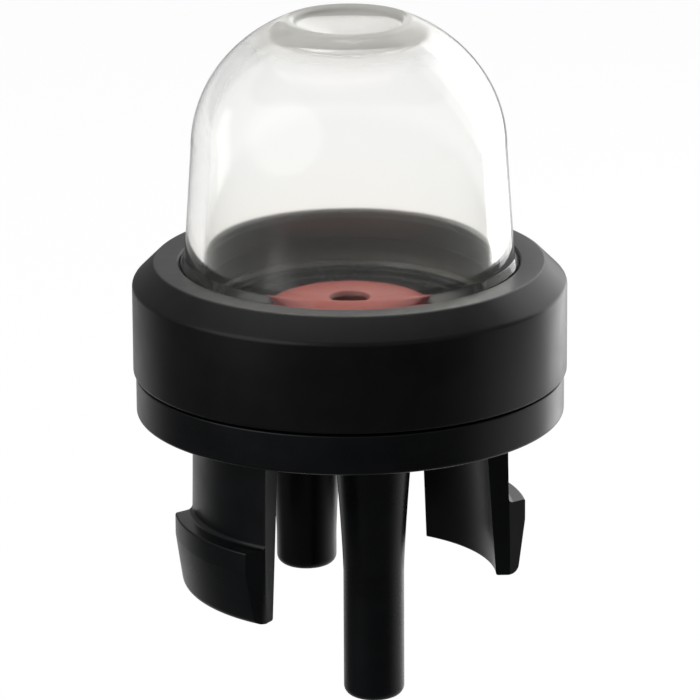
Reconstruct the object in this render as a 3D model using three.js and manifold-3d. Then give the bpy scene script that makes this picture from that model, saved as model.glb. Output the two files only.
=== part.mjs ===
// Snap-in fuel primer bulb: a clear squeeze bulb, its retaining ring, a moulded base with two
// hose nipples and two spring tabs, and a one-piece umbrella and duckbill valve.
// Millimetres. +Z is the bulb's axis, and the origin is on that axis at the underside of the
// base disc, which seats on the panel. The nipples lie on Y and the spring tabs on X.
import * as THREE from 'three';
import { mergeVertices } from 'three/addons/utils/BufferGeometryUtils.js';
import Module from 'manifold-3d';

const wasm = await Module();
wasm.setup();

// Retaining ring
const ringRadius = 11.0;
const ringHeight = 5.85;
const ringWall = 1.2;
const ringLip = 1.2;
const ringChamfer = 1.1;
const ringEdgeBreak = 0.15;
const ringHoleChamfer = 0.2;

// Base disc and the spigot that the ring is pressed over
const discHeight = 2.05;
const discSetback = 0.14;
const discEdgeBreak = 0.2;
const seamGroove = 0.12;
const seamDepth = 0.45;
const spigotClearance = 0.1;
const floorDepth = 0.4;
const floorRadius = 7.1;

// Squeeze bulb
const bulbRadius = 8.35;
const bulbShoulderRadius = 7.95;
const bulbShoulderHeight = 5.9;
const bulbCrownHeight = 7.2;
const bulbWall = 0.9;
const bulbHoleClearance = 0.25;
const flangeThickness = 1.3;
const flangeClearance = 0.2;
const dimpleRadius = 2.7;
const dimpleDepth = 0.7;
const dimpleLipWidth = 0.5;
const dimpleLipDrop = 0.2;

// Check valve
const valveRadius = 4.3;
const valveRimThickness = 0.45;
const valveCrown = 0.6;
const valveSkirtHollow = 0.25;
const valveSealWidth = 0.5;
const valveHoleRadius = 0.9;
const stemRadius = 1.55;
const stemLength = 2.1;
const duckbillLength = 1.9;
const duckbillLip = 0.45;
const duckbillSlit = 0.12;
const valveClearance = 0.15;
const valveWellClearance = 0.4;

// Hose nipples
const nippleRadius = 1.55;
const nippleBoreRadius = 0.8;
const nippleRootRadius = 2.1;
const nippleRootLength = 8.0;
const nippleFlareCurve = 1.3;
const nippleEndRound = 0.5;
const longNippleLength = 14.7;
const shortNippleLength = 9.65;
const longNippleOffset = 2.3;
const shortNippleOffset = 4.6;
const inletPortRadius = 0.5;
const inletPortOffset = 3.0;
const inletGalleryTop = 3.4;
const inletGalleryHeight = 1.2;

// Spring tabs that snap behind the panel
const tabHalfAngle = THREE.MathUtils.degToRad(28);
const tabRootRadius = 8.0;
const tabLean = 0.1;
const tabThickness = 1.25;
const tabLength = 9.15;
const panelGrip = 5.25;
const barbReach = 0.9;
const barbLand = 1.1;
const barbTaper = 0.55;
const tabEndRound = 0.45;
const tabInnerFlare = 0.95;
const barbEndEase = THREE.MathUtils.degToRad(6);

// Facets round one turn: coaxial pieces share the same count, so that their faces stay parallel
const turnSegments = 64;
const nippleSegments = 24;
const arcSteps = 10;
const smallArcSteps = 4;
// How far a cutter runs past the face that it opens
const cutOverrun = 1;

// Places that follow from the sizes above
const ringTop = discHeight + ringHeight;
const ringBoreRadius = ringRadius - ringWall;
const ringHoleRadius = bulbRadius + bulbHoleClearance;
const flangeTop = ringTop - ringLip;
const spigotTop = flangeTop - flangeThickness;
const spigotRadius = ringBoreRadius - spigotClearance;
const valveSeat = spigotTop - floorDepth;
const discRadius = ringRadius - discSetback;

const ringBlack = new THREE.MeshStandardMaterial({ color: 0x1b1c1e, roughness: 0.42, metalness: 0 });
const baseBlack = new THREE.MeshStandardMaterial({ color: 0x161718, roughness: 0.4, metalness: 0 });
const valveRed = new THREE.MeshStandardMaterial({ color: 0xa8483c, roughness: 0.55, metalness: 0 });
const bulbClear = new THREE.MeshStandardMaterial({
  color: 0xeeeee6, roughness: 0.12, metalness: 0, transparent: true, opacity: 0.35,
});

// A profile of [radius, height] pairs, counterclockwise, turned about Z
function turned(profile, segments) {
  const points = profile.map(([radius, height]) => new THREE.Vector2(radius, height));
  const onAxis = profile[0][0] === 0 && profile.at(-1)[0] === 0;
  if (!onAxis) points.push(points[0].clone());
  return new THREE.LatheGeometry(points, segments).rotateX(Math.PI / 2);
}

// Points on an elliptical arc in the [radius, height] plane, both ends included
function arc([centreRadius, centreHeight], [halfWidth, halfHeight], from, to, steps) {
  return Array.from({ length: steps + 1 }, (_, i) => {
    const angle = from + ((to - from) * i) / steps;
    return [centreRadius + halfWidth * Math.cos(angle), centreHeight + halfHeight * Math.sin(angle)];
  });
}

function toSolid(geometry) {
  const bare = geometry.clone();
  bare.deleteAttribute('normal');
  bare.deleteAttribute('uv');
  const merged = mergeVertices(bare, 1e-5);
  const corners = merged.index.array;
  const kept = [];
  for (let i = 0; i < corners.length; i += 3) {
    const [a, b, c] = corners.slice(i, i + 3);
    if (a !== b && b !== c && c !== a) kept.push(a, b, c);
  }
  const mesh = new wasm.Mesh({
    numProp: 3,
    vertProperties: new Float32Array(merged.attributes.position.array),
    triVerts: new Uint32Array(kept),
  });
  return new wasm.Manifold(mesh);
}

function toGeometry(solid) {
  const mesh = solid.getMesh();
  const geometry = new THREE.BufferGeometry();
  geometry.setAttribute('position', new THREE.BufferAttribute(mesh.vertProperties, mesh.numProp));
  geometry.setIndex(new THREE.BufferAttribute(mesh.triVerts, 1));
  geometry.computeVertexNormals();
  return geometry;
}

function sink(solids) {
  return solids.reduce((whole, solid) => whole.add(solid));
}

function named(name, geometry, material) {
  const mesh = new THREE.Mesh(geometry, material);
  mesh.name = name;
  return mesh;
}

function makeRing() {
  const profile = [
    [ringBoreRadius, discHeight],
    [discRadius - seamDepth, discHeight],
    [discRadius - seamDepth, discHeight + seamGroove],
    [ringRadius - ringEdgeBreak, discHeight + seamGroove],
    [ringRadius, discHeight + seamGroove + ringEdgeBreak],
    [ringRadius, ringTop - ringChamfer],
    [ringRadius - ringChamfer, ringTop],
    [ringHoleRadius + ringHoleChamfer, ringTop],
    [ringHoleRadius, ringTop - ringHoleChamfer],
    [ringHoleRadius, flangeTop],
    [ringBoreRadius, flangeTop],
  ];
  return named('retaining_ring', turned(profile, turnSegments), ringBlack);
}

// The bulb's skin from the ring's top to the middle of the dimple: its outside, or its inside
// when it is drawn one wall in
function bulbSkin(inset) {
  const shoulder = ringTop + bulbShoulderHeight;
  const crownRadius = bulbShoulderRadius - inset;
  const crestRadius = dimpleRadius + (inset || dimpleLipWidth);
  const crestAngle = Math.acos(crestRadius / crownRadius);
  const crown = arc([0, shoulder], [crownRadius, bulbCrownHeight - inset], 0, crestAngle, arcSteps);
  return [[bulbRadius - inset, ringTop], ...crown];
}

// A shallow spherical cap from the last point of the skin down to the axis
function bulbDimple([rimRadius, rimHeight], bottom) {
  const depth = rimHeight - bottom;
  const sphereRadius = (rimRadius ** 2 + depth ** 2) / (2 * depth);
  const rimSlope = Math.asin(rimRadius / sphereRadius) - Math.PI / 2;
  const cap = arc([0, bottom + sphereRadius], [sphereRadius, sphereRadius], rimSlope, -Math.PI / 2, smallArcSteps);
  return [...cap.slice(1, -1), [0, bottom]];
}

function makeBulb() {
  const outside = bulbSkin(0);
  const crest = outside.at(-1);
  const lipCentre = [crest[0], crest[1] - dimpleLipDrop];
  const lip = arc(lipCentre, [dimpleLipWidth, dimpleLipDrop], Math.PI / 2, Math.PI, smallArcSteps);
  const dimpleBottom = lip.at(-1)[1] - dimpleDepth;
  const inside = bulbSkin(bulbWall);
  const flangeRadius = ringBoreRadius - flangeClearance;
  const profile = [
    ...bulbDimple(inside.at(-1), dimpleBottom - bulbWall).reverse(),
    ...inside.reverse(),
    [bulbRadius - bulbWall, spigotTop],
    [flangeRadius, spigotTop],
    [flangeRadius, flangeTop],
    [bulbRadius, flangeTop],
    ...outside,
    ...lip.slice(1),
    ...bulbDimple(lip.at(-1), dimpleBottom),
  ];
  return named('bulb', turned(profile, turnSegments), bulbClear);
}

// The base without its passages: disc, spigot and the shallow pocket that the valve sits in
function baseBlank() {
  const profile = [
    [0, 0],
    [discRadius - discEdgeBreak, 0],
    [discRadius, discEdgeBreak],
    [discRadius, discHeight],
    [spigotRadius, discHeight],
    [spigotRadius, spigotTop],
    [floorRadius, spigotTop],
    [floorRadius, valveSeat],
    [0, valveSeat],
  ];
  return toSolid(turned(profile, turnSegments));
}

function nippleBlank(offset, length) {
  const endRadius = nippleRadius - nippleEndRound;
  const endCentre = [endRadius, nippleEndRound - length];
  const round = arc(endCentre, [nippleEndRound, nippleEndRound], -Math.PI / 2, 0, smallArcSteps);
  const root = Array.from({ length: smallArcSteps }, (_, i) => {
    const t = (i + 1) / smallArcSteps;
    return [nippleRadius + (nippleRootRadius - nippleRadius) * t ** nippleFlareCurve, nippleRootLength * (t - 1)];
  });
  const profile = [
    [0, -length],
    ...round,
    [nippleRadius, -nippleRootLength],
    ...root,
    [nippleRootRadius, discHeight / 2],
    [0, discHeight / 2],
  ];
  return toSolid(turned(profile, nippleSegments).translate(0, offset, 0));
}

function passage(radius, low, high, offset) {
  const profile = [[0, low], [radius, low], [radius, high], [0, high]];
  return toSolid(turned(profile, nippleSegments).translate(0, offset, 0));
}

// Section of a spring tab in the plane of its middle: root inside the disc, lean, barb, end
function tabSection() {
  const ledge = tabRootRadius + tabLean;
  const barb = ledge + barbReach;
  const rounded = arc(
    [barb - barbTaper - tabEndRound, tabEndRound - tabLength],
    [tabEndRound, tabEndRound],
    -Math.PI / 2,
    0,
    smallArcSteps,
  );
  const innerRoot = tabRootRadius - tabThickness;
  return [
    [innerRoot, discHeight / 2],
    [innerRoot, 0],
    [innerRoot + tabInnerFlare, -tabLength],
    ...rounded,
    [barb, -panelGrip - barbLand],
    [barb, -panelGrip],
    [ledge, -panelGrip],
    [tabRootRadius, 0],
    [tabRootRadius, discHeight / 2],
  ];
}

// A full turn of the tab's section, cut down to one sector whose barb is eased at both ends
function tabBlank(side) {
  const hoop = toSolid(turned(tabSection(), turnSegments));
  const ledge = tabRootRadius + tabLean;
  const corner = (radius, angle) => new THREE.Vector2(radius * Math.cos(angle), radius * Math.sin(angle));
  const eased = tabHalfAngle - barbEndEase;
  const sector = new THREE.Shape([
    corner(0, 0),
    corner(ledge, -tabHalfAngle),
    corner(ledge + barbReach, -eased),
    corner(2 * ringRadius, -eased),
    corner(2 * ringRadius, eased),
    corner(ledge + barbReach, eased),
    corner(ledge, tabHalfAngle),
  ]);
  const wedge = new THREE.ExtrudeGeometry(sector, { depth: 2 * tabLength, bevelEnabled: false });
  wedge.translate(0, 0, discHeight - 2 * tabLength);
  if (side < 0) wedge.rotateZ(Math.PI);
  return hoop.intersect(toSolid(wedge));
}

// A level channel that leads from the short nipple's bore to the port under the valve's skirt
function gallery() {
  const length = shortNippleOffset - inletPortOffset;
  const channel = new THREE.BoxGeometry(2 * inletPortRadius, length, inletGalleryHeight);
  const middle = inletPortOffset + length / 2;
  channel.translate(0, middle, inletGalleryTop - inletGalleryHeight / 2);
  return toSolid(channel);
}

function makeBase() {
  const body = sink([
    baseBlank(),
    nippleBlank(-longNippleOffset, longNippleLength),
    nippleBlank(shortNippleOffset, shortNippleLength),
    tabBlank(1),
    tabBlank(-1),
  ]);
  const wellBottom = valveSeat - stemLength - duckbillLength - valveWellClearance;
  const wellRadius = stemRadius + valveClearance;
  const galleryBottom = inletGalleryTop - inletGalleryHeight;
  const cuts = sink([
    passage(wellRadius, wellBottom, valveSeat + cutOverrun, 0),
    passage(nippleBoreRadius, -longNippleLength - cutOverrun, wellBottom + cutOverrun, -longNippleOffset),
    passage(nippleBoreRadius, -shortNippleLength - cutOverrun, inletGalleryTop, shortNippleOffset),
    passage(inletPortRadius, galleryBottom, valveSeat + cutOverrun, inletPortOffset),
    gallery(),
  ]);
  return named('base_body', toGeometry(body.subtract(cuts)), baseBlack);
}

// Umbrella above the seat, hollow stem through the well, and two lips that close to a slit
function makeValve() {
  const rimTop = valveSeat + valveRimThickness;
  const crownTop = rimTop + valveCrown;
  const stemEnd = valveSeat - stemLength;
  const tip = stemEnd - duckbillLength;
  const sealInner = valveRadius - valveSealWidth;
  const profile = [
    [0, tip],
    [stemRadius, tip],
    [stemRadius, valveSeat + valveSkirtHollow],
    [sealInner, valveSeat + valveSkirtHollow / 2],
    [sealInner, valveSeat],
    [valveRadius, valveSeat],
    [valveRadius, rimTop],
    ...arc([0, rimTop], [valveRadius, valveCrown], 0, Math.PI / 2, arcSteps).slice(1, -1),
    [0, crownTop],
  ];
  const blank = toSolid(turned(profile, turnSegments));
  const bill = new THREE.Shape([
    new THREE.Vector2(-duckbillLip, tip - cutOverrun),
    new THREE.Vector2(duckbillLip, tip - cutOverrun),
    new THREE.Vector2(duckbillLip, tip),
    new THREE.Vector2(stemRadius, stemEnd),
    new THREE.Vector2(2 * valveRadius, stemEnd),
    new THREE.Vector2(2 * valveRadius, crownTop + cutOverrun),
    new THREE.Vector2(-2 * valveRadius, crownTop + cutOverrun),
    new THREE.Vector2(-2 * valveRadius, stemEnd),
    new THREE.Vector2(-stemRadius, stemEnd),
    new THREE.Vector2(-duckbillLip, tip),
  ]);
  const envelope = new THREE.ExtrudeGeometry(bill, { depth: 4 * valveRadius, bevelEnabled: false });
  envelope.translate(0, 0, -2 * valveRadius).rotateX(Math.PI / 2);
  const boreEnd = stemEnd - duckbillLength / 2;
  const slit = new THREE.BoxGeometry(duckbillSlit, 2 * valveHoleRadius, duckbillLength + cutOverrun);
  slit.translate(0, 0, tip + (duckbillLength + cutOverrun) / 2 - cutOverrun / 2);
  const bore = [
    [0, boreEnd],
    [valveHoleRadius, stemEnd],
    [valveHoleRadius, crownTop + cutOverrun],
    [0, crownTop + cutOverrun],
  ];
  const hollow = toSolid(turned(bore, turnSegments)).add(toSolid(slit));
  const valve = blank.intersect(toSolid(envelope)).subtract(hollow);
  return named('check_valve', toGeometry(valve), valveRed);
}

const primerBulb = new THREE.Group();
primerBulb.name = 'primer_bulb';
primerBulb.add(makeBulb(), makeRing(), makeBase(), makeValve());

export default primerBulb;
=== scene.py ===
# Snap-in primer bulb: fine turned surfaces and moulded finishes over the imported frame
import math
import bpy
from mathutils import Matrix, Vector


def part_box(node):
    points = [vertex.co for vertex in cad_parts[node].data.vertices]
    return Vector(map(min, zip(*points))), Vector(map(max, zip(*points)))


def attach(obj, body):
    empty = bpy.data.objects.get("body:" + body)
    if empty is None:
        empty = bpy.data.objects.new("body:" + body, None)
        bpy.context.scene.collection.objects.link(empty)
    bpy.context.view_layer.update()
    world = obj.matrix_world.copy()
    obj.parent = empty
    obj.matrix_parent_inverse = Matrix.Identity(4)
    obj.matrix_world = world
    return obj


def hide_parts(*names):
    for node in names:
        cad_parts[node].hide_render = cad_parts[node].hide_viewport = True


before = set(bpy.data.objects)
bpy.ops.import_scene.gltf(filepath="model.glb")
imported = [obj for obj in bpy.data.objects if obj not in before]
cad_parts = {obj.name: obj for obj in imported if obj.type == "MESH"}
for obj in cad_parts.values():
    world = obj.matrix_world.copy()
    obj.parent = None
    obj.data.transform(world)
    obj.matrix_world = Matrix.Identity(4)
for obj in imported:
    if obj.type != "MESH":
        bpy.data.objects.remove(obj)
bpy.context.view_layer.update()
mm = 0.001
# radii below this lie on the lathe's axis, in millimetres
axisLimit = 1e-6
# points nearer than this are one point, in metres
mergeLimit = 1e-7

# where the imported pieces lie, in millimetres
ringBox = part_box("retaining_ring")
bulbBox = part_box("bulb")
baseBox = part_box("base_body")
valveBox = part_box("check_valve")
ringBottom = ringBox[0].z / mm
ringTop = ringBox[1].z / mm
ringRadius = ringBox[1].x / mm
flangeRadius = bulbBox[1].x / mm
flangeBottom = bulbBox[0].z / mm
bulbTop = bulbBox[1].z / mm
discRadius = baseBox[1].x / mm
nippleTip = baseBox[0].z / mm
valveRadius = valveBox[1].x / mm
valveTip = valveBox[0].z / mm
valveTop = valveBox[1].z / mm

# the camera, fitted to the ring's and the disc's outlines in the photograph
cameraSet = {
    "distance": 300 * mm,
    "azimuth": math.radians(-30),
    "elevation": math.radians(17.4),
    "roll": math.radians(-0.3),
    "aimHeight": 3.1 * mm,
    "pixelsPerMm": 19.715,
    "imageWidth": 700,
    "sensorWidth": 36,
    "clipStart": 10 * mm,
    "clipEnd": 10000 * mm,
}


def makeCamera():
    data = bpy.data.cameras.new("camera")
    data.sensor_width = cameraSet["sensorWidth"]
    focalPixels = cameraSet["pixelsPerMm"] * cameraSet["distance"] / mm
    data.lens = focalPixels / cameraSet["imageWidth"] * cameraSet["sensorWidth"]
    data.clip_start = cameraSet["clipStart"]
    data.clip_end = cameraSet["clipEnd"]
    camera = bpy.data.objects.new("camera", data)
    bpy.context.scene.collection.objects.link(camera)
    azimuth, elevation = cameraSet["azimuth"], cameraSet["elevation"]
    back = Vector((
        math.sin(azimuth) * math.cos(elevation),
        -math.cos(azimuth) * math.cos(elevation),
        math.sin(elevation),
    ))
    turn = back.to_track_quat("Z", "Y").to_matrix().to_4x4()
    place = Vector((0, 0, cameraSet["aimHeight"])) + back * cameraSet["distance"]
    camera.matrix_world = Matrix.Translation(place) @ turn @ Matrix.Rotation(cameraSet["roll"], 4, "Z")
    bpy.context.scene.camera = camera


# a number socket that adds Math nodes when it is used in an expression
class Value:
    def __init__(self, finish, socket):
        self.finish = finish
        self.socket = socket

    def maths(self, operation, first, second):
        return self.finish.add("Math", {"operation": operation}, {0: first, 1: second})

    def __add__(self, other):
        return self.maths("ADD", self, other)

    __radd__ = __add__

    def __mul__(self, other):
        return self.maths("MULTIPLY", self, other)

    __rmul__ = __mul__

    def __sub__(self, other):
        return self.maths("SUBTRACT", self, other)

    def __rsub__(self, other):
        return self.maths("SUBTRACT", other, self)


class Finish:
    def __init__(self, name):
        self.material = bpy.data.materials.new(name)
        self.material.use_nodes = True
        self.tree = self.material.node_tree
        self.tree.nodes.clear()

    # any node: its type, what is set on it first, and the values or links of its sockets
    def add(self, kind, settings=None, inputs=None, output=0):
        node = self.tree.nodes.new("ShaderNode" + kind)
        for name, setting in (settings or {}).items():
            if name == "stops":
                self.setStops(node.color_ramp, setting)
            else:
                setattr(node, name, setting)
        for name, value in (inputs or {}).items():
            if isinstance(value, Value):
                self.tree.links.new(value.socket, node.inputs[name])
            else:
                node.inputs[name].default_value = value
        return Value(self, node.outputs[output]) if node.outputs else None

    def setStops(self, ramp, stops):
        while len(ramp.elements) < len(stops):
            ramp.elements.new(0.5)
        for element, (position, grey) in zip(ramp.elements, stops):
            element.position = position
            element.color = (grey, grey, grey, 1)

    def mix(self, factor, first, second):
        return self.add("Mix", {"data_type": "RGBA"}, {0: factor, 6: first, 7: second}, 2)

    def point(self):
        return self.add("TexCoord", output="Object")

    # a smooth step from 0 to 1 as the value goes from low to high
    def ramp(self, value, low, high):
        return self.add("MapRange", {"interpolation_type": "SMOOTHSTEP"}, {
            "Value": value, "From Min": low, "From Max": high,
        })

    def axisDistance(self):
        flat = self.add("VectorMath", {"operation": "MULTIPLY"}, {0: self.point(), 1: (1, 1, 0)})
        return self.add("VectorMath", {"operation": "LENGTH"}, {0: flat}, 1)

    def noise(self, scale, detail=3, stretch=(1, 1, 1)):
        place = self.add("Mapping", inputs={"Vector": self.point(), "Scale": stretch})
        return self.add("TexNoise", inputs={"Vector": place, "Scale": scale, "Detail": detail})

    def finishWith(self, shader):
        self.add("OutputMaterial", inputs={"Surface": shader})
        return self.material


# black moulded plastic: fine spark texture, faint flow marks and a little uneven gloss
blackSet = {
    "ring": {"tone": (0.0046, 0.0048, 0.0049), "sheen": 0.34, "grain": 0.05, "flow": 90},
    "base": {"tone": (0.0040, 0.0048, 0.0060), "sheen": 0.3, "grain": 0.04, "flow": 120},
}
mouldingSet = {
    "ior": 1.42,
    "blotches": [(0.35, 0), (0.75, 1)],
    "paleness": 2.1,
    "flowStretch": (1, 1, 2.5),
    "flowGloss": 0.16,
    "spotScale": 700,
    "spotGloss": 0.12,
    "grainScale": 9000,
    "grainDepth": 0.02 * mm,
}


def blackPlastic(name):
    choice = blackSet[name]
    moulding = mouldingSet
    finish = Finish(name + "Plastic")
    flow = finish.noise(choice["flow"], 2, moulding["flowStretch"])
    grain = finish.noise(moulding["grainScale"], 2)
    spots = finish.noise(moulding["spotScale"], 4)
    dark = (*choice["tone"], 1)
    pale = (*(moulding["paleness"] * part for part in choice["tone"]), 1)
    cloud = spots * 0.5 + flow * 0.5
    blotch = finish.add("ValToRGB", {"stops": moulding["blotches"]}, {"Fac": cloud})
    colour = finish.mix(blotch, dark, pale)
    uneven = (flow - 0.5) * moulding["flowGloss"] + (spots - 0.5) * moulding["spotGloss"]
    relief = finish.add("Bump", inputs={
        "Strength": choice["grain"], "Distance": moulding["grainDepth"], "Height": grain,
    })
    shader = finish.add("BsdfPrincipled", inputs={
        "Base Color": colour, "Roughness": choice["sheen"] + uneven,
        "IOR": moulding["ior"], "Normal": relief,
    })
    return finish.finishWith(shader)


# red rubber, with painted shade: darker at the umbrella's rim, which faces away from the light, and dark
# inside the hole
rubberSet = {
    "deep": (0.27, 0.038, 0.028, 1),
    "pale": (0.34, 0.065, 0.05, 1),
    # painted shade: the rim colour darkens the umbrella's rim, which faces away from the light
    "rim": (0.22, 0.03, 0.032, 1),
    # painted shade: the hole colour darkens the inside of the hole
    "hole": (0.1, 0.018, 0.014, 1),
    "rimShadeFade": (3.6 * mm, 4.2 * mm),
    "holeShadeFade": (0.9 * mm, 1.15 * mm),
    "cloudScale": 260,
    "sheen": 0.46,
    "unevenness": 0.2,
    "grainScale": 2600,
    "grain": 0.15,
    "grainDepth": 0.05 * mm,
    "glow": 0.15,
    "glowColours": (1.0, 0.3, 0.2),
    "glowDepth": 0.4 * mm,
}


def valveRubber():
    rubber = rubberSet
    finish = Finish("valveRubber")
    cloud = finish.noise(rubber["cloudScale"], 3)
    plain = finish.mix(cloud, rubber["deep"], rubber["pale"])
    radius = finish.axisDistance()
    # painted shade darkens the rubber towards the umbrella's rim
    rimShaded = finish.mix(finish.ramp(radius, *rubber["rimShadeFade"]), plain, rubber["rim"])
    # painted shade darkens the rubber inside the hole
    colour = finish.mix(finish.ramp(radius, *rubber["holeShadeFade"]), rubber["hole"], rimShaded)
    relief = finish.add("Bump", inputs={
        "Strength": rubber["grain"], "Distance": rubber["grainDepth"],
        "Height": finish.noise(rubber["grainScale"], 2),
    })
    shader = finish.add("BsdfPrincipled", inputs={
        "Base Color": colour, "Roughness": rubber["sheen"] + (cloud - 0.5) * rubber["unevenness"],
        "Normal": relief, "Subsurface Weight": rubber["glow"],
        "Subsurface Radius": rubber["glowColours"], "Subsurface Scale": rubber["glowDepth"],
    })
    return finish.finishWith(shader)


# clear soft plastic: creamy at the foot, milky in the thick crown around the dimple
clearSet = {
    "foot": (0.985, 0.972, 0.93, 1),
    "wall": (0.994, 0.993, 0.984, 1),
    "milk": (0.96, 0.95, 0.89, 1),
    "shadow": (0.96, 0.96, 0.94, 1),
    "footFade": ((ringTop - 1) * mm, (ringTop + 5) * mm),
    "crownFade": ((bulbTop - 1.7) * mm, (bulbTop - 0.2) * mm),
    "milkiness": 0.6,
    "milkSheen": 0.3,
    "ior": 1.36,
    "clearness": 0.99,
    "sheen": 0.04,
    "haze": 0.06,
    "hazeScale": 120,
    "ripple": 0.06,
    "rippleScale": 320,
    "rippleDepth": 0.05 * mm,
}


# the plastic bends what is seen through it, and lets the lamps' light in
def clearPlastic():
    plastic = clearSet
    finish = Finish("clearBulb")
    haze = finish.noise(plastic["hazeScale"], 2)
    relief = finish.add("Bump", inputs={
        "Strength": plastic["ripple"], "Distance": plastic["rippleDepth"],
        "Height": finish.noise(plastic["rippleScale"], 2),
    })
    height = finish.add("SeparateXYZ", inputs={0: finish.point()}, output=2)
    tint = finish.mix(finish.ramp(height, *plastic["footFade"]), plastic["foot"], plastic["wall"])
    shell = finish.add("BsdfPrincipled", inputs={
        "Base Color": tint, "Roughness": plastic["sheen"] + haze * plastic["haze"],
        "IOR": plastic["ior"], "Transmission Weight": plastic["clearness"], "Normal": relief,
    })
    milk = finish.add("BsdfPrincipled", inputs={
        "Base Color": plastic["milk"], "Roughness": plastic["milkSheen"], "Normal": relief,
    })
    crown = finish.ramp(height, *plastic["crownFade"])
    body = finish.add("MixShader", inputs={0: crown * plastic["milkiness"], 1: shell, 2: milk})
    clear = finish.add("BsdfTransparent", inputs={"Color": plastic["shadow"]})
    shadow = finish.add("LightPath", output="Is Shadow Ray")
    return finish.finishWith(finish.add("MixShader", inputs={0: shadow, 1: body, 2: clear}))


def startFresh():
    if bpy.context.mode != "OBJECT":
        bpy.ops.object.mode_set(mode="OBJECT")
    bpy.ops.object.select_all(action="DESELECT")


def onlySelect(piece):
    startFresh()
    piece.select_set(True)
    bpy.context.view_layer.objects.active = piece


# an outline's corners are (radius, height) or (radius, height, fillet); each fillet becomes an arc
def outlineOf(corners, steps=6, closed=True):
    outline = []
    for i, corner in enumerate(corners):
        here = Vector(corner[:2])
        fillet = corner[2] if len(corner) > 2 else 0
        if not fillet or (not closed and i in (0, len(corners) - 1)):
            outline.append(tuple(here))
            continue
        before = (Vector(corners[i - 1][:2]) - here).normalized()
        after = (Vector(corners[(i + 1) % len(corners)][:2]) - here).normalized()
        half = before.angle(after) / 2
        reach = fillet / math.tan(half)
        centre = here + (before + after).normalized() * (fillet / math.sin(half))
        start = here + before * reach - centre
        end = here + after * reach - centre
        sweep = start.angle_signed(end)
        for step in range(steps + 1):
            turned = start.copy()
            turned.rotate(Matrix.Rotation(-sweep * step / steps, 2))
            outline.append(tuple(centre + turned))
    return outline


def arcPoints(centre, size, fromAngle, toAngle, steps):
    angles = [fromAngle + (toAngle - fromAngle) * i / steps for i in range(steps + 1)]
    return [(centre[0] + size[0] * math.cos(a), centre[1] + size[1] * math.sin(a)) for a in angles]


# a piece turned on a lathe: one ring of points is pulled through the outline, point by point
def turnPiece(name, outline, turns, centre=(0, 0)):
    startFresh()
    startsOnAxis = outline[0][0] < axisLimit
    endsOnAxis = outline[-1][0] < axisLimit
    rings = [point for point in outline if point[0] > axisLimit]
    radius, height = rings[0]
    bpy.ops.mesh.primitive_circle_add(
        vertices=turns, radius=radius * mm, location=(0, 0, height * mm),
        fill_type="TRIFAN" if startsOnAxis else "NOTHING",
    )
    piece = bpy.context.active_object
    piece.name = name
    bpy.ops.object.transform_apply(location=True)
    if startsOnAxis:
        hub = min(piece.data.vertices, key=lambda v: v.co.xy.length)
        hub.co.z = outline[0][1] * mm
        for vertex in piece.data.vertices:
            vertex.select = vertex.index != hub.index
        for edge in piece.data.edges:
            edge.select = all(piece.data.vertices[v].select for v in edge.vertices)
        for face in piece.data.polygons:
            face.select = False
    bpy.ops.object.mode_set(mode="EDIT")
    bpy.ops.mesh.select_mode(type="EDGE")
    for (oldRadius, oldHeight), (radius, height) in zip(rings, rings[1:]):
        bpy.ops.mesh.extrude_edges_move(
            TRANSFORM_OT_translate={"value": (0, 0, (height - oldHeight) * mm)},
        )
        if not math.isclose(radius, oldRadius):
            grow = radius / oldRadius
            bpy.ops.transform.resize(value=(grow, grow, 1), center_override=(0, 0, height * mm))
    if endsOnAxis:
        drop = (outline[-1][1] - rings[-1][1]) * mm
        bpy.ops.mesh.extrude_edges_move(TRANSFORM_OT_translate={"value": (0, 0, drop)})
        bpy.ops.mesh.merge(type="CENTER")
    # an outline clear of the axis is closed from its last ring to its first
    if not startsOnAxis:
        bpy.ops.object.mode_set(mode="OBJECT")
        last = len(piece.data.vertices) - turns
        for vertex in piece.data.vertices:
            vertex.select = vertex.index < turns or vertex.index >= last
        for edge in piece.data.edges:
            low, high = sorted(edge.vertices)
            edge.select = high < turns or low >= last
        for face in piece.data.polygons:
            face.select = False
        bpy.ops.object.mode_set(mode="EDIT")
        bpy.ops.mesh.bridge_edge_loops()
    bpy.ops.mesh.select_all(action="SELECT")
    bpy.ops.mesh.normals_make_consistent(inside=False)
    bpy.ops.object.mode_set(mode="OBJECT")
    piece.location = (centre[0] * mm, centre[1] * mm, 0)
    bpy.ops.object.transform_apply(location=True)
    return piece


def applyModifier(piece, kind, **settings):
    onlySelect(piece)
    modifier = piece.modifiers.new(kind.lower(), kind)
    for name, value in settings.items():
        setattr(modifier, name, value)
    bpy.ops.object.modifier_apply(modifier=modifier.name)


def combine(piece, tool, operation):
    applyModifier(piece, "BOOLEAN", operation=operation, object=tool, solver="EXACT")
    bpy.data.objects.remove(tool)


# merges what the joining left doubled, then smooths, colours and registers the piece
def dress(piece, node, material, smoothAngle=35):
    onlySelect(piece)
    bpy.ops.object.mode_set(mode="EDIT")
    bpy.ops.mesh.select_all(action="SELECT")
    bpy.ops.mesh.remove_doubles(threshold=mergeLimit)
    bpy.ops.mesh.dissolve_degenerate(threshold=mergeLimit)
    bpy.ops.mesh.normals_make_consistent(inside=False)
    bpy.ops.object.mode_set(mode="OBJECT")
    bpy.ops.object.shade_smooth_by_angle(angle=math.radians(smoothAngle))
    piece.data.materials.clear()
    piece.data.materials.append(material)
    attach(piece, "root")
    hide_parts(node)


ringSet = {
    "wall": 1.2,
    "lip": 1.2,
    "hole": 8.6,
    "holeChamfer": 0.1,
    "chamfer": 1.1,
    "groove": 0.12,
    "grooveDepth": 0.45,
    "footEdge": 0.18,
    "shoulderEdge": 0.36,
    "topEdge": 0.24,
    "holeEdge": 0.03,
    "turns": 192,
}


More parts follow.
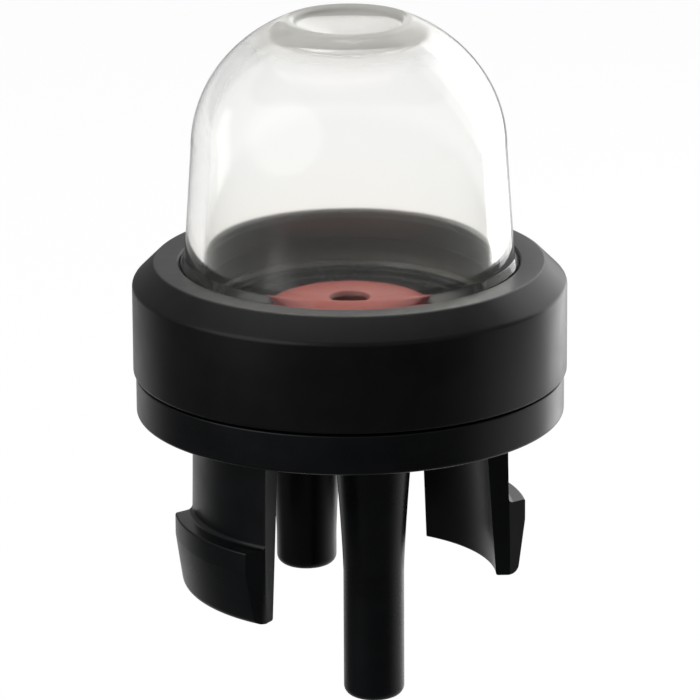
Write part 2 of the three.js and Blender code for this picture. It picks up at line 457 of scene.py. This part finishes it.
def makeRing():
    sizes = ringSet
    bore = ringRadius - sizes["wall"]
    grooveRoot = discRadius - sizes["grooveDepth"]
    foot = ringBottom + sizes["groove"]
    outline = outlineOf([
        (bore, ringBottom),
        (grooveRoot, ringBottom),
        (grooveRoot, foot),
        (ringRadius, foot, sizes["footEdge"]),
        (ringRadius, ringTop - sizes["chamfer"], sizes["shoulderEdge"]),
        (ringRadius - sizes["chamfer"], ringTop, sizes["topEdge"]),
        (sizes["hole"] + sizes["holeChamfer"], ringTop, sizes["holeEdge"]),
        (sizes["hole"], ringTop - sizes["holeChamfer"], sizes["holeEdge"]),
        (sizes["hole"], ringTop - sizes["lip"]),
        (bore, ringTop - sizes["lip"]),
    ])
    ring = turnPiece("ring", outline, sizes["turns"])
    dress(ring, "retaining_ring", blackPlastic("ring"))
    print("ring turned")


bulbSet = {
    "radius": 8.35,
    "shoulderRadius": 7.95,
    "shoulderHeight": 5.9,
    "crownHeight": 7.2,
    "wall": 0.9,
    "flange": 1.3,
    "dimpleRadius": 2.7,
    "dimpleDepth": 0.7,
    "lipWidth": 0.5,
    "lipDrop": 0.2,
    "flare": 0.2,
    "flareHeight": 0.3,
    "flareFoot": 0.05,
    "flareTuck": 0.02,
    "flareEdge": 0.15,
    "flareEase": 0.25,
    "innerEdge": 0.15,
    "flangeEdge": 0.1,
    "neckEdge": 0.12,
    "crownSteps": 28,
    "capSteps": 12,
    "lipSteps": 8,
    "edgeSteps": 4,
    "turns": 192,
    "smoothAngle": 50,
}


# from the shoulder up to the dimple: the outside, or the inside one wall in
def bulbSkin(inset):
    sizes = bulbSet
    shoulder = ringTop + sizes["shoulderHeight"]
    radius = sizes["shoulderRadius"] - inset
    crest = sizes["dimpleRadius"] + (inset or sizes["lipWidth"])
    size = (radius, sizes["crownHeight"] - inset)
    return arcPoints((0, shoulder), size, 0, math.acos(crest / radius), sizes["crownSteps"])


# the dimple's shallow floor, from its rim to the axis
def bulbCap(rim, bottom):
    depth = rim[1] - bottom
    sphere = (rim[0] ** 2 + depth ** 2) / (2 * depth)
    slope = math.asin(rim[0] / sphere) - math.pi / 2
    cap = arcPoints((0, bottom + sphere), (sphere, sphere), slope, -math.pi / 2, bulbSet["capSteps"])
    return [*cap[1:-1], (0, bottom)]


def makeBulb():
    sizes = bulbSet
    outside = bulbSkin(0)
    inside = bulbSkin(sizes["wall"])
    crest = outside[-1]
    lipCentre = (crest[0], crest[1] - sizes["lipDrop"])
    lipSize = (sizes["lipWidth"], sizes["lipDrop"])
    lip = arcPoints(lipCentre, lipSize, math.pi / 2, math.pi, sizes["lipSteps"])
    bottom = lip[-1][1] - sizes["dimpleDepth"]
    flangeTop = flangeBottom + sizes["flange"]
    flared = sizes["radius"] + sizes["flare"]
    foot = outlineOf([
        inside[0],
        (sizes["radius"] - sizes["wall"], flangeBottom, sizes["innerEdge"]),
        (flangeRadius, flangeBottom, sizes["flangeEdge"]),
        (flangeRadius, flangeTop, sizes["flangeEdge"]),
        (flared, flangeTop, sizes["neckEdge"]),
        (flared, ringTop - sizes["flareFoot"], sizes["flareEdge"]),
        (sizes["radius"] - sizes["flareTuck"], ringTop + sizes["flareHeight"], sizes["flareEase"]),
        outside[0],
    ], sizes["edgeSteps"], closed=False)
    outline = [
        *reversed(bulbCap(inside[-1], bottom - sizes["wall"])),
        *reversed(inside[1:]),
        *foot,
        *outside[1:],
        *lip[1:],
        *bulbCap(lip[-1], bottom),
    ]
    bulb = turnPiece("clearBulb", outline, sizes["turns"])
    dress(bulb, "bulb", clearPlastic(), sizes["smoothAngle"])
    print("bulb turned")


baseSet = {
    "discEdge": 0.2,
    "seamEdge": 0.08,
    "spigotEdge": 0.06,
    "floorEdge": 0.1,
    "spigot": 9.7,
    "floor": 7.1,
    "floorDepth": 0.4,
    "nipple": 1.55,
    "nippleBore": 0.8,
    "nippleRoot": 2.1,
    "nippleRootLength": 8.0,
    "nippleFlare": 1.3,
    "nippleEnd": 0.5,
    "rootFillet": 0.15,
    "rootRise": 0.02,
    "longOffset": 2.3,
    "shortOffset": 4.6,
    "shortLength": 9.65,
    "well": 1.7,
    "wellBottom": 0.6,
    "port": 0.5,
    "portOffset": 3.0,
    "galleryTop": 3.4,
    "galleryHeight": 1.2,
    "galleryDrop": 0.01,
    # how far joined and cutting pieces run past a face
    "overlap": 1,
    "turns": 192,
    "nippleTurns": 64,
    "drillTurns": 48,
    "flareSteps": 14,
    "endSteps": 8,
    "filletSteps": 5,
}

tabSet = {
    "root": 8.0,
    "lean": 0.1,
    "thickness": 1.25,
    "length": 9.15,
    "grip": 5.25,
    "reach": 0.9,
    "land": 1.1,
    "taper": 0.4,
    "endRound": 0.45,
    "flare": 0.7,
    "halfAngle": math.radians(28),
    "ease": math.radians(4),
    "toeEdge": 0.12,
    "landEdge": 0.8,
    "barbEdge": 0.1,
    "ledgeFillet": 0.25,
    "softEdge": 0.12,
    "softSteps": 3,
    "softAngle": math.radians(40),
    "turns": 256,
}


def makeNipple(name, offset, length):
    sizes = baseSet
    depth = sizes["nippleRootLength"]
    root = []
    for i in range(1, sizes["flareSteps"]):
        along = i / sizes["flareSteps"]
        swell = (sizes["nippleRoot"] - sizes["nipple"]) * along ** sizes["nippleFlare"]
        root.append((sizes["nipple"] + swell, depth * (along - 1)))
    endCentre = (sizes["nipple"] - sizes["nippleEnd"], sizes["nippleEnd"] - length)
    filletCentre = (sizes["nippleRoot"] + sizes["rootFillet"], sizes["rootRise"] - sizes["rootFillet"])
    outline = [
        (0, -length),
        *arcPoints(endCentre, (sizes["nippleEnd"],) * 2, -math.pi / 2, 0, sizes["endSteps"]),
        (sizes["nipple"], -depth),
        *root,
        *arcPoints(filletCentre, (sizes["rootFillet"],) * 2, math.pi, math.pi / 2, sizes["filletSteps"]),
        (sizes["nippleRoot"] + sizes["rootFillet"], sizes["overlap"]),
        (0, sizes["overlap"]),
    ]
    return turnPiece(name, outline, sizes["nippleTurns"], (0, offset))


def makeBlock(size, centre):
    startFresh()
    bpy.ops.mesh.primitive_cube_add(size=1, location=[part * mm for part in centre])
    block = bpy.context.active_object
    block.scale = [part * mm for part in size]
    bpy.ops.object.transform_apply(location=True, scale=True)
    return block


def cutPlane(piece, point, normal):
    onlySelect(piece)
    bpy.ops.object.mode_set(mode="EDIT")
    bpy.ops.mesh.select_all(action="SELECT")
    bpy.ops.mesh.bisect(
        plane_co=[part * mm for part in point], plane_no=normal,
        use_fill=True, clear_outer=True, threshold=mergeLimit,
    )
    bpy.ops.object.mode_set(mode="OBJECT")


# one spring tab: a turned hoop cut down to a sector, with its barb eased at both ends
def makeTab():
    sizes = tabSet
    ledge = sizes["root"] + sizes["lean"]
    barb = ledge + sizes["reach"]
    inner = sizes["root"] - sizes["thickness"]
    outline = outlineOf([
        (inner, baseSet["overlap"]),
        (inner + sizes["flare"], -sizes["length"], sizes["toeEdge"]),
        (barb - sizes["taper"], -sizes["length"], sizes["endRound"]),
        (barb, -sizes["grip"] - sizes["land"], sizes["landEdge"]),
        (barb, -sizes["grip"], sizes["barbEdge"]),
        (ledge, -sizes["grip"], sizes["ledgeFillet"]),
        (sizes["root"], baseSet["overlap"]),
    ])
    tab = turnPiece("rightTab", outline, sizes["turns"])
    half, eased = sizes["halfAngle"], sizes["halfAngle"] - sizes["ease"]
    for end in (1, -1):
        cutPlane(tab, (0, 0, 0), (-math.sin(half), end * math.cos(half), 0))
        near = Vector((ledge * math.cos(half), end * ledge * math.sin(half), 0))
        far = Vector((barb * math.cos(eased), end * barb * math.sin(eased), 0))
        along = (far - near).normalized()
        cutPlane(tab, near, (end * -along.y, end * along.x, 0))
    applyModifier(
        tab, "BEVEL", width=sizes["softEdge"] * mm, segments=sizes["softSteps"],
        limit_method="ANGLE", angle_limit=sizes["softAngle"],
    )
    return tab


def copyTurned(piece, name, angle):
    twin = piece.copy()
    twin.data = piece.data.copy()
    twin.name = name
    bpy.context.scene.collection.objects.link(twin)
    twin.rotation_euler.z = angle
    onlySelect(twin)
    bpy.ops.object.transform_apply(rotation=True)
    return twin


def makeBase():
    sizes = baseSet
    floor = flangeBottom - sizes["floorDepth"]
    outline = outlineOf([
        (0, 0),
        (discRadius, 0, sizes["discEdge"]),
        (discRadius, ringBottom, sizes["seamEdge"]),
        (sizes["spigot"], ringBottom),
        (sizes["spigot"], flangeBottom),
        (sizes["floor"], flangeBottom, sizes["spigotEdge"]),
        (sizes["floor"], floor, sizes["floorEdge"]),
        (0, floor),
    ])
    base = turnPiece("base", outline, sizes["turns"])
    combine(base, makeNipple("longNipple", -sizes["longOffset"], -nippleTip), "UNION")
    combine(base, makeNipple("shortNipple", sizes["shortOffset"], sizes["shortLength"]), "UNION")
    tab = makeTab()
    for piece in (copyTurned(tab, "leftTab", math.pi), tab):
        combine(base, piece, "UNION")
    print("base joined")
    galleryBottom = sizes["galleryTop"] - sizes["galleryHeight"]
    past = sizes["overlap"]
    for radius, low, high, offset in (
        (sizes["well"], sizes["wellBottom"], floor + past, 0),
        (sizes["nippleBore"], nippleTip - past, sizes["wellBottom"] + past, -sizes["longOffset"]),
        (sizes["nippleBore"], -sizes["shortLength"] - past, sizes["galleryTop"], sizes["shortOffset"]),
        (sizes["port"], galleryBottom, floor + past, sizes["portOffset"]),
    ):
        section = [(0, low), (radius, low), (radius, high), (0, high)]
        drill = turnPiece("drill", section, sizes["drillTurns"], (0, offset))
        combine(base, drill, "DIFFERENCE")
    # the drop keeps the gallery's top off the end of the bore
    galleryMiddle = (sizes["shortOffset"] + sizes["portOffset"]) / 2
    galleryLevel = sizes["galleryTop"] - sizes["galleryHeight"] / 2 - sizes["galleryDrop"]
    gallery = makeBlock(
        (2 * sizes["port"], sizes["shortOffset"] - sizes["portOffset"], sizes["galleryHeight"]),
        (0, galleryMiddle, galleryLevel),
    )
    combine(base, gallery, "DIFFERENCE")
    dress(base, "base_body", blackPlastic("base"))
    applyModifier(base, "WEIGHTED_NORMAL", keep_sharp=True)
    print("base drilled")


valveSet = {
    "rim": 0.45,
    "seal": 0.5,
    "skirt": 0.25,
    "hole": 0.9,
    "stem": 1.55,
    "stemLength": 2.1,
    "billLength": 1.9,
    "lip": 0.45,
    "slit": 0.12,
    "slitDrop": 0.2,
    "rimEdge": 0.06,
    "mouthDepth": 0.2,
    "mouthEdge": 0.15,
    "mouthReach": 0.4,
    "mouthRise": 0.3,
    "crownSteps": 24,
    "turns": 96,
    "boreTurns": 64,
    "smoothAngle": 40,
}


def makeValve():
    sizes = valveSet
    seat = flangeBottom - baseSet["floorDepth"]
    rimTop = seat + sizes["rim"]
    stemEnd = seat - sizes["stemLength"]
    crown = arcPoints((0, rimTop), (valveRadius, valveTop - rimTop), 0, math.pi / 2, sizes["crownSteps"])
    outline = [
        (0, valveTip),
        (sizes["stem"], valveTip),
        (sizes["stem"], seat + sizes["skirt"]),
        (valveRadius - sizes["seal"], seat + sizes["skirt"] / 2),
        (valveRadius - sizes["seal"], seat),
        (valveRadius - sizes["rimEdge"], seat),
        (valveRadius, seat + sizes["rimEdge"]),
        *crown[:-1],
        (0, valveTop),
    ]
    valve = turnPiece("valve", outline, sizes["turns"])
    mouthTop = valveTop + sizes["mouthRise"]
    bore = outlineOf([
        (0, stemEnd - sizes["billLength"] / 2),
        (sizes["hole"], stemEnd),
        (sizes["hole"], valveTop - sizes["mouthDepth"], sizes["mouthEdge"]),
        (sizes["hole"] + sizes["mouthReach"], mouthTop),
        (0, mouthTop),
    ])
    combine(valve, turnPiece("bore", bore, sizes["boreTurns"]), "DIFFERENCE")
    run = sizes["stem"] - sizes["lip"]
    for end in (1, -1):
        cutPlane(valve, (end * sizes["lip"], 0, valveTip), (end * sizes["billLength"], 0, -run))
    slit = makeBlock(
        (sizes["slit"], 2 * sizes["hole"], sizes["billLength"]),
        (0, 0, valveTip - sizes["slitDrop"] + sizes["billLength"] / 2),
    )
    combine(valve, slit, "DIFFERENCE")
    dress(valve, "check_valve", valveRubber(), sizes["smoothAngle"])
    print("valve moulded")


# lengths in millimetres; a lamp is its name, direction, distance, size and strength
lightSet = {
    "worldLevel": 0.25,
    "background": 1.0,
    "lamps": [
        ("left", (-0.95, -0.1, 0.4), 300, 340, 0.3),
        ("right", (0.95, 0.35, 0.35), 300, 380, 0.5),
        ("top", (0.1, 0.3, 1.0), 320, 420, 0.4),
        ("back", (0.48, 0.83, 0.36), 320, 240, 0.045),
        ("rim", (0.9, 0.36, -0.14), 200, 110, 0.11),
    ],
    "floorSize": 3000,
    "floorDrop": 60,
    "floorGlow": 1.02,
    "glowShare": 0.94,
    # the floor's colour is painted darker towards the camera, a painted shade in place of a black card,
    # which keeps the black fronts black
    "floorFrontShade": (0.14, 0.14, 0.14, 1),
    "floorBack": (0.93, 0.93, 0.93, 1),
    "brightSide": (0.83, 0.56, 0),
    "fadeFrom": -30,
    "fadeTo": 115,
}


# white to the camera and through the bulb, dimmer as light
def makeWorld():
    world = bpy.data.worlds.new("studio")
    bpy.context.scene.world = world
    world.use_nodes = True
    tree = world.node_tree
    tree.nodes.clear()
    path = tree.nodes.new("ShaderNodeLightPath")
    seen = tree.nodes.new("ShaderNodeMath")
    seen.operation = "MAXIMUM"
    tree.links.new(path.outputs["Is Camera Ray"], seen.inputs[0])
    tree.links.new(path.outputs["Is Transmission Ray"], seen.inputs[1])
    level = tree.nodes.new("ShaderNodeMapRange")
    level.inputs["To Min"].default_value = lightSet["worldLevel"]
    level.inputs["To Max"].default_value = lightSet["background"]
    tree.links.new(seen.outputs[0], level.inputs["Value"])
    sky = tree.nodes.new("ShaderNodeBackground")
    tree.links.new(level.outputs[0], sky.inputs["Strength"])
    out = tree.nodes.new("ShaderNodeOutputWorld")
    tree.links.new(sky.outputs[0], out.inputs[0])


def makeFloor():
    startFresh()
    level = (nippleTip - lightSet["floorDrop"]) * mm
    bpy.ops.mesh.primitive_plane_add(size=lightSet["floorSize"] * mm, location=(0, 0, level))
    floor = bpy.context.active_object
    floor.name = "floor"
    finish = Finish("floorPaper")
    along = finish.add("VectorMath", {"operation": "DOT_PRODUCT"}, {
        0: finish.point(), 1: lightSet["brightSide"],
    }, 1)
    fade = finish.ramp(along, lightSet["fadeFrom"] * mm, lightSet["fadeTo"] * mm)
    # painted shade: the floor fades from dark in front to pale behind, so reflections of the front are
    # dark
    shade = finish.add("BsdfDiffuse", inputs={
        "Color": finish.mix(fade, lightSet["floorFrontShade"], lightSet["floorBack"]),
    })
    glow = finish.add("Emission", inputs={"Color": (1, 1, 1, 1), "Strength": lightSet["floorGlow"]})
    straight = finish.add("LightPath", output="Is Camera Ray")
    through = finish.add("LightPath", output="Is Transmission Ray")
    paper = finish.add("MixShader", inputs={
        0: (straight + through) * lightSet["glowShare"], 1: shade, 2: glow,
    })
    floor.data.materials.append(finish.finishWith(paper))


def makeLamps():
    for name, direction, distance, size, strength in lightSet["lamps"]:
        data = bpy.data.lights.new(name, "AREA")
        data.shape = "DISK"
        data.size = size * mm
        data.energy = strength * (math.pi * distance * mm) ** 2
        lamp = bpy.data.objects.new(name, data)
        bpy.context.scene.collection.objects.link(lamp)
        toLamp = Vector(direction).normalized()
        lamp.location = toLamp * distance * mm
        lamp.rotation_mode = "QUATERNION"
        lamp.rotation_quaternion = toLamp.to_track_quat("Z", "Y")


bpy.context.scene.view_settings.view_transform = "Standard"
makeCamera()
makeRing()
makeBulb()
makeValve()
makeBase()
makeWorld()
makeFloor()
makeLamps()
print("stage set")
